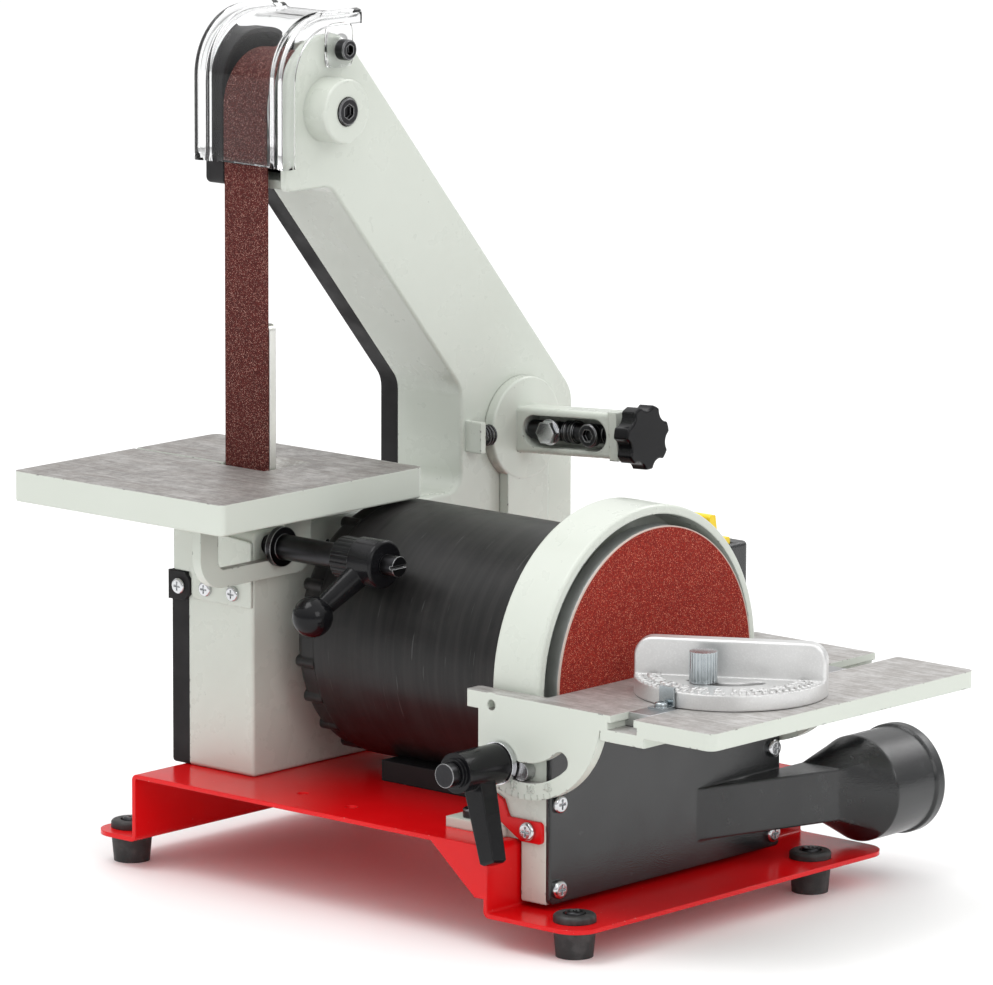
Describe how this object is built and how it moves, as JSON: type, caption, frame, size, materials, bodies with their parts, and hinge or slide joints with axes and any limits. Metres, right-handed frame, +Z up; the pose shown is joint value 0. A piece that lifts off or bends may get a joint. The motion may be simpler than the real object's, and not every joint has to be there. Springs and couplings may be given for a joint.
{
  "type": "belt disc sander",
  "caption": "Bench belt and disc sander: narrow vertical belt on a cast C-frame with a tilting table, disc with tilting table and miter gauge, motor between them on a sheet base.",
  "frame": {"origin": "middle of the footprint's bounding box, on the plane the rubber feet stand on", "axes": "+X along the motor shaft from the belt to the disc, +Y from the operator to the back, +Z up"},
  "size_m": [0.367, 0.2676, 0.378],
  "materials": {
    "red_paint": "gloss red powder coat on bent sheet",
    "rubber": "matt black moulded rubber",
    "bright_zinc": "bright zinc plated fasteners",
    "black_steel": "black oxide steel",
    "pale_paint": "gloss pale grey-green enamel on cast metal",
    "black_paint": "satin black enamel",
    "plated_sheet": "thin plated sheet",
    "clear_plastic": "clear polycarbonate, polished",
    "abrasive": "aluminium oxide grit on cloth, coarse",
    "wheel_cast": "machined casting",
    "axle_steel": "ground steel",
    "black_plastic": "black moulded plastic with a fine grain",
    "ground_iron": "ground top, painted sides",
    "copper_steel": "laminated steel with copper windings",
    "aluminium_cast": "satin die-cast aluminium",
    "yellow_plastic": "yellow moulded plastic"
  },
  "bodies": {
    "root": {"base_plate": "red_paint", "rubber_feet": "rubber", "foot_screws": "black_steel", "belt_frame": "pale_paint", "side_cover": "black_paint", "cover_screws": "bright_zinc", "front_plate": "pale_paint", "base_bolts": "bright_zinc", "platen": "plated_sheet", "platen_bracket": "plated_sheet", "platen_screws": "bright_zinc", "top_guard": "clear_plastic", "sanding_belt": "abrasive", "top_axle": "black_steel", "tension_pivot_bolt": "bright_zinc", "tension_spring": "black_steel", "table_pivot_pin": "axle_steel", "table_lock_bolt": "black_steel", "table_lock_spacer": "black_steel", "motor_housing": "black_paint", "motor_end_bell": "black_paint", "motor_bearings": "axle_steel", "motor_stator": "copper_steel", "motor_foot": "black_paint", "disc_guard": "pale_paint", "socket_screws": "black_steel", "dust_chute": "black_plastic", "chute_screws": "bright_zinc", "scale_pointer": "red_paint", "disc_lock_bolts": "black_steel", "disc_lock_washers": "bright_zinc", "disc_guide_pins": "axle_steel", "switch_case": "black_plastic"},
    "spindle": {"motor_rotor": "axle_steel", "motor_fan": "black_plastic", "motor_shaft": "axle_steel", "drive_wheel_nut": "bright_zinc", "drive_wheel": "wheel_cast", "disc_plate": "wheel_cast", "abrasive_disc": "abrasive"},
    "top_wheel": {"top_wheel": "wheel_cast", "top_wheel_bearings": "axle_steel"},
    "tension_arm": {"tension_arm": "pale_paint", "rear_axle": "axle_steel", "tracking_shaft": "black_steel", "tracking_bolts": "bright_zinc"},
    "rear_wheel": {"rear_wheel": "wheel_cast", "rear_wheel_bearings": "axle_steel"},
    "tracking_knob": {"tracking_knob": "black_plastic"},
    "belt_table": {"belt_table": "ground_iron"},
    "belt_table_lever": {"belt_table_lever": "black_plastic"},
    "disc_table": {"disc_table": "ground_iron"},
    "front_lock_lever": {"disc_lever_front": "black_plastic"},
    "rear_lock_lever": {"disc_lever_rear": "black_plastic"},
    "miter_slide": {"miter_bar": "axle_steel", "miter_studs": "axle_steel", "miter_index": "bright_zinc"},
    "miter_head": {"miter_head": "aluminium_cast"},
    "miter_knob": {"miter_knob": "bright_zinc"},
    "switch_rocker": {"switch_rocker": "yellow_plastic"}
  },
  "joints": [
    {"name": "spindle_spin", "type": "hinge", "parent": "root", "child": "spindle", "pos_m": [-0.1155, -0.01075, 0.105], "axis": [1, 0, 0], "continuous": true},
    {"name": "top_wheel_spin", "type": "hinge", "parent": "root", "child": "top_wheel", "pos_m": [-0.1155, -0.03225, 0.335], "axis": [1, 0, 0], "continuous": true},
    {"name": "tension_swing", "type": "hinge", "parent": "root", "child": "tension_arm", "pos_m": [-0.0875, 0.09725, 0.112], "axis": [1, 0, 0], "range_deg": [0, 5], "stiffness_Nm_per_rad": 6, "deforming": ["tension_spring"]},
    {"name": "rear_wheel_spin", "type": "hinge", "parent": "tension_arm", "child": "rear_wheel", "pos_m": [-0.1155, 0.09595, 0.178], "axis": [1, 0, 0], "continuous": true},
    {"name": "tracking_turn", "type": "hinge", "parent": "tension_arm", "child": "tracking_knob", "pos_m": [-0.01564, 0.09405, 0.18238], "axis": [0.998, 0, 0.0628], "range_deg": [-360, 360]},
    {"name": "belt_table_tilt", "type": "hinge", "parent": "root", "child": "belt_table", "pos_m": [-0.0865, -0.06075, 0.16], "axis": [1, 0, 0], "range_deg": [0, 45]},
    {"name": "belt_lever_turn", "type": "hinge", "parent": "root", "child": "belt_table_lever", "pos_m": [-0.0395, -0.06975, 0.147], "axis": [1, 0, 0], "range_deg": [-120, 20]},
    {"name": "disc_table_tilt", "type": "hinge", "parent": "root", "child": "disc_table", "pos_m": [0.0805, -0.01175, 0.1055], "axis": [0, 1, 0], "range_deg": [0, 45]},
    {"name": "front_lever_turn", "type": "hinge", "parent": "root", "child": "front_lock_lever", "pos_m": [0.06789, -0.11175, 0.07718], "axis": [0, 1, 0], "range_deg": [-60, 60]},
    {"name": "rear_lever_turn", "type": "hinge", "parent": "root", "child": "rear_lock_lever", "pos_m": [0.06789, 0.09325, 0.07718], "axis": [0, 1, 0], "range_deg": [-120, 0]},
    {"name": "miter_travel", "type": "slide", "parent": "disc_table", "child": "miter_slide", "axis": [0, 1, 0], "range_m": [-0.04, 0.04]},
    {"name": "miter_swivel", "type": "hinge", "parent": "miter_slide", "child": "miter_head", "pos_m": [0.13475, -0.02325, 0.108], "axis": [0, 0, 1], "range_deg": [-75, 15]},
    {"name": "miter_knob_turn", "type": "hinge", "parent": "miter_slide", "child": "miter_knob", "pos_m": [0.13475, -0.04175, 0.12], "axis": [0, 0, 1], "range_deg": [-180, 180]},
    {"name": "switch_rock", "type": "hinge", "parent": "root", "child": "switch_rocker", "pos_m": [0.03725, 0.07225, 0.1405], "axis": [1, 0, 0], "range_deg": [0, 16]}
  ],
  "couplings": [
    {"joint": "top_wheel_spin", "follows": "spindle_spin", "ratio": 1.8776},
    {"joint": "rear_wheel_spin", "follows": "spindle_spin", "ratio": 1.84}
  ]
}
